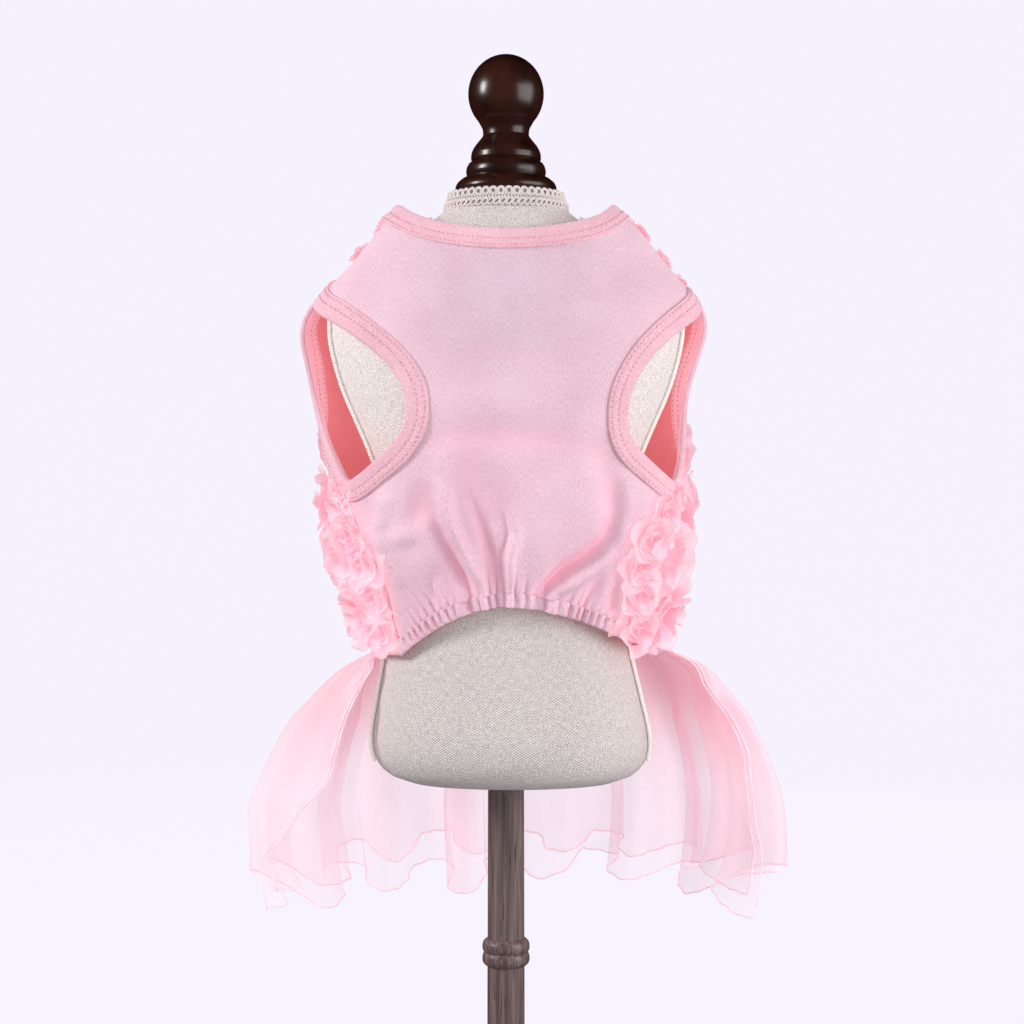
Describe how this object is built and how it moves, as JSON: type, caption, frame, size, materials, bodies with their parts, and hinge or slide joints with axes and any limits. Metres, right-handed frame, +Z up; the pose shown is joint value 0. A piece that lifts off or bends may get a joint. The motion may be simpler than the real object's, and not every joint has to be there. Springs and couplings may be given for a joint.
{
  "type": "dog dress on a dress form",
  "caption": "Sleeveless dog dress with a gathered jersey belly panel, a rosette covered back and a sheer flared skirt, worn by a small limbless dress form on a stand.",
  "frame": {"origin": "centre of the base's underside, under the pole", "axes": "+Z up along the pole, -Y out of the belly panel, +Y out of the back with the rosettes and skirt"},
  "size_m": [0.3047, 0.2277, 0.6182],
  "materials": {
    "jersey": "soft knitted cotton jersey, matt",
    "binding": "folded cotton jersey binding with two rows of coverstitch",
    "chiffon": "thin gathered chiffon, matt",
    "organza": "sheer crisp organza with a rolled hem",
    "linen": "coarse undyed linen weave, matt",
    "braid": "cream looped cotton braid and stitched cord",
    "dark_wood": "turned wood, dark brown gloss lacquer",
    "grey_wood": "turned wood, greyed brown, satin"
  },
  "bodies": {
    "root": {"form_bust": "linen", "form_side_cord_left": "braid", "form_side_cord_right": "braid", "form_neck_braid": "braid", "form_finial": "dark_wood", "form_pole": "grey_wood", "form_base": "grey_wood", "belly_panel": "jersey", "belly_casing": "jersey", "back_panel": "jersey", "neck_binding": "binding", "armhole_binding_left": "binding", "armhole_binding_right": "binding", "skirt_outer": "organza", "skirt_inner": "organza", "rosette_1_1": "chiffon", "rosette_1_2": "chiffon", "rosette_1_3": "chiffon", "rosette_1_4": "chiffon", "rosette_1_5": "chiffon", "rosette_1_6": "chiffon", "rosette_1_7": "chiffon", "rosette_1_8": "chiffon", "rosette_2_1": "chiffon", "rosette_2_2": "chiffon", "rosette_2_3": "chiffon", "rosette_2_4": "chiffon", "rosette_2_5": "chiffon", "rosette_2_6": "chiffon", "rosette_2_7": "chiffon", "rosette_2_8": "chiffon", "rosette_2_9": "chiffon", "rosette_3_1": "chiffon", "rosette_3_2": "chiffon", "rosette_3_3": "chiffon", "rosette_3_4": "chiffon", "rosette_3_5": "chiffon", "rosette_3_6": "chiffon", "rosette_3_7": "chiffon", "rosette_3_8": "chiffon", "rosette_4_1": "chiffon", "rosette_4_2": "chiffon", "rosette_4_3": "chiffon", "rosette_4_4": "chiffon", "rosette_4_5": "chiffon", "rosette_4_6": "chiffon", "rosette_4_7": "chiffon", "rosette_5_1": "chiffon", "rosette_5_2": "chiffon", "rosette_5_3": "chiffon", "rosette_5_4": "chiffon", "rosette_5_5": "chiffon", "rosette_5_6": "chiffon", "rosette_6_1": "chiffon", "rosette_6_2": "chiffon", "rosette_6_3": "chiffon", "rosette_6_4": "chiffon", "rosette_6_5": "chiffon"}
  },
  "joints": []
}
